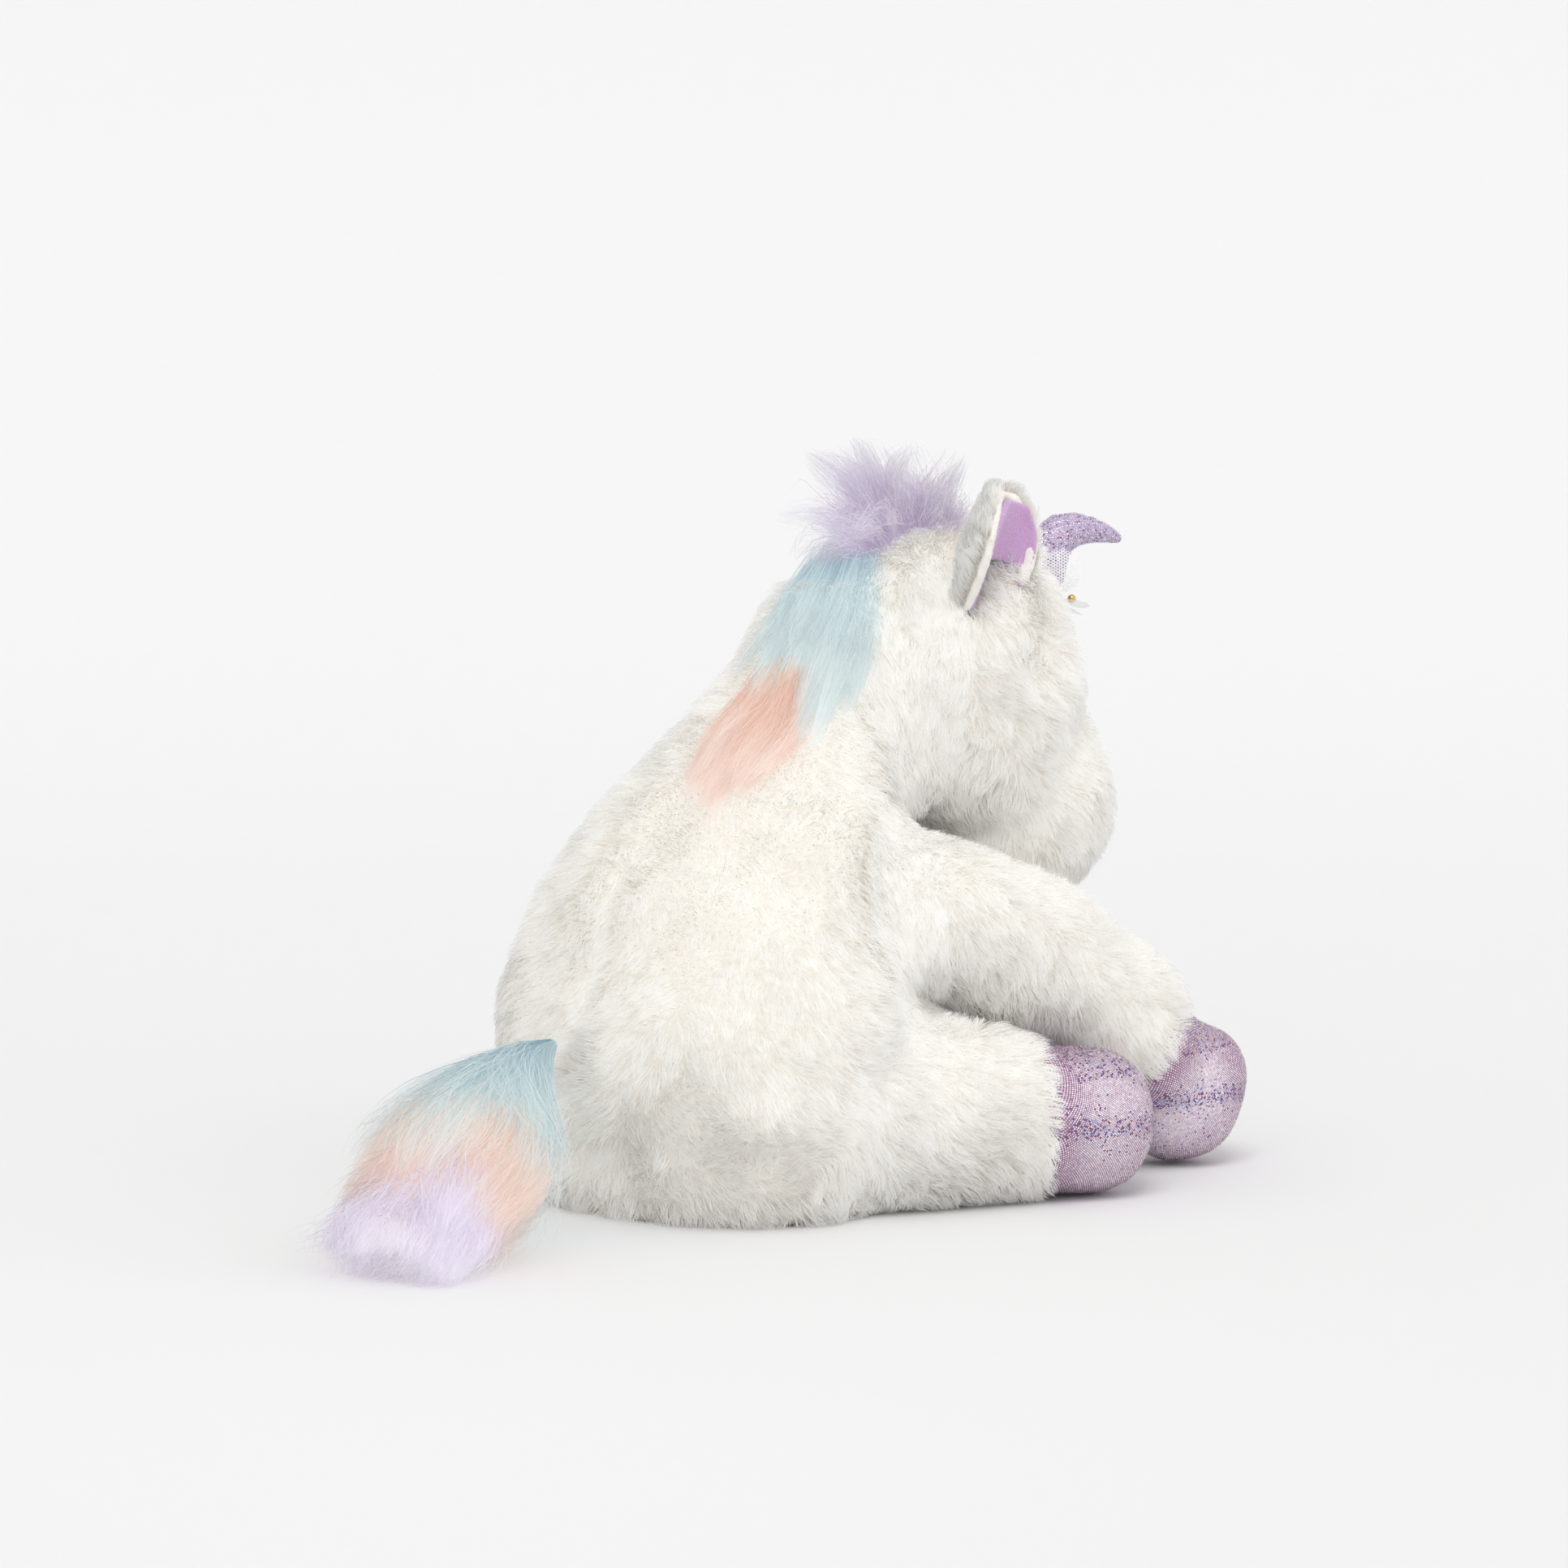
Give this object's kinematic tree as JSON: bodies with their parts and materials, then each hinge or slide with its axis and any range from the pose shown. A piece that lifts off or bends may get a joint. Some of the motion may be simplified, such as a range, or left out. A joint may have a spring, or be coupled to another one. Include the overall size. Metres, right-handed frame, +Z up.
{
  "type": "plush unicorn",
  "caption": "Seated soft-pile plush unicorn with a turned, hanging head, floppy hinged legs, foil-dot hooves and horn, pastel long-pile mane and tail.",
  "frame": {"origin": "middle of the flat seat panel, on the surface that it sits on", "axes": "+Z up, the toy faces -Y, its right side is -X and its tail points to +Y"},
  "size_m": [0.3184, 0.5219, 0.3508],
  "materials": {
    "white_fur": "soft long-pile plush",
    "fibre_filling": "loose polyester fibre",
    "plain_cloth": "thin woven cloth, blank",
    "sparkle_foil_fabric": "knit with iridescent foil dots",
    "lilac_velour": "short-pile velour",
    "lilac_long_pile": "silky long pile",
    "blue_long_pile": "silky long pile",
    "peach_long_pile": "silky long pile",
    "net_and_tulle": "stiff translucent net and fine tulle",
    "gold_bead": "metallised gold",
    "black_eye": "polished",
    "white_plastic": "moulded"
  },
  "bodies": {
    "torso": {"torso_right_panel": "white_fur", "torso_left_panel": "white_fur", "seat_panel": "white_fur", "torso_filling": "fibre_filling", "pellet_pouch": "plain_cloth", "care_label": "plain_cloth", "mane_peach": "peach_long_pile"},
    "head": {"head_centre_gusset": "white_fur", "head_right_panel": "white_fur", "head_left_panel": "white_fur", "head_filling": "fibre_filling", "eye_right": "black_eye", "eye_left": "black_eye", "eye_right_washer": "white_plastic", "eye_left_washer": "white_plastic", "petal_net_right": "net_and_tulle", "petal_net_left": "net_and_tulle", "petal_tulle_right": "net_and_tulle", "petal_tulle_left": "net_and_tulle", "petal_tulle_front": "net_and_tulle", "bead_1": "gold_bead", "bead_2": "gold_bead", "mane_lilac": "lilac_long_pile", "mane_blue": "blue_long_pile"},
    "ear_right": {"ear_right_back": "white_fur", "ear_right_lining": "lilac_velour"},
    "ear_left": {"ear_left_back": "white_fur", "ear_left_lining": "lilac_velour"},
    "horn": {"horn_cover": "sparkle_foil_fabric", "horn_filling": "fibre_filling"},
    "tail": {"tail_blue": "blue_long_pile", "tail_peach": "peach_long_pile", "tail_lilac": "lilac_long_pile"},
    "front_leg_right": {"front_leg_right_cover": "white_fur", "front_hoof_right": "sparkle_foil_fabric", "front_leg_right_filling": "fibre_filling"},
    "front_leg_left": {"front_leg_left_cover": "white_fur", "front_hoof_left": "sparkle_foil_fabric", "front_leg_left_filling": "fibre_filling"},
    "hind_leg_right": {"hind_leg_right_cover": "white_fur", "hind_hoof_right": "sparkle_foil_fabric", "hind_leg_right_filling": "fibre_filling"},
    "hind_leg_left": {"hind_leg_left_cover": "white_fur", "hind_hoof_left": "sparkle_foil_fabric", "hind_leg_left_filling": "fibre_filling"}
  },
  "joints": [
    {"name": "head_nod", "type": "hinge", "parent": "torso", "child": "head", "pos_m": [0, -0.094, 0.262], "axis": [-0.9336, 0.3584, 0], "range_deg": [-6, 30], "stiffness_Nm_per_rad": 1.6, "deforming": ["mane_blue"]},
    {"name": "front_leg_right_lift", "type": "hinge", "parent": "torso", "child": "front_leg_right", "pos_m": [-0.07, -0.076, 0.139], "axis": [-0.8211, 0, -0.5708], "range_deg": [0, 40], "stiffness_Nm_per_rad": 0.35},
    {"name": "front_leg_left_lift", "type": "hinge", "parent": "torso", "child": "front_leg_left", "pos_m": [0.07, -0.076, 0.139], "axis": [-0.8211, 0, 0.5708], "range_deg": [0, 40], "stiffness_Nm_per_rad": 0.35},
    {"name": "hind_leg_right_spread", "type": "hinge", "parent": "torso", "child": "hind_leg_right", "pos_m": [-0.08, -0.042, 0.047], "axis": [0, 0, -1], "range_deg": [0, 30], "stiffness_Nm_per_rad": 0.3},
    {"name": "hind_leg_left_spread", "type": "hinge", "parent": "torso", "child": "hind_leg_left", "pos_m": [0.08, -0.042, 0.047], "axis": [0, 0, 1], "range_deg": [0, 30], "stiffness_Nm_per_rad": 0.3},
    {"name": "tail_swing", "type": "hinge", "parent": "torso", "child": "tail", "pos_m": [0, 0.104, 0.084], "axis": [0, 0, 1], "range_deg": [-25, 25], "stiffness_Nm_per_rad": 0.1},
    {"name": "ear_right_flop", "type": "hinge", "parent": "head", "child": "ear_right", "pos_m": [-0.06699, -0.12762, 0.28948], "axis": [-0.154, 0.9726, 0.1744], "range_deg": [-20, 8], "stiffness_Nm_per_rad": 0.05},
    {"name": "ear_left_flop", "type": "hinge", "parent": "head", "child": "ear_left", "pos_m": [0.02729, -0.16381, 0.28948], "axis": [-0.7652, -0.6197, -0.1744], "range_deg": [-20, 8], "stiffness_Nm_per_rad": 0.05},
    {"name": "horn_flex", "type": "hinge", "parent": "head", "child": "horn", "pos_m": [-0.04014, -0.19856, 0.299], "axis": [0.9336, -0.3584, 0], "range_deg": [-12, 15], "stiffness_Nm_per_rad": 0.1}
  ]
}
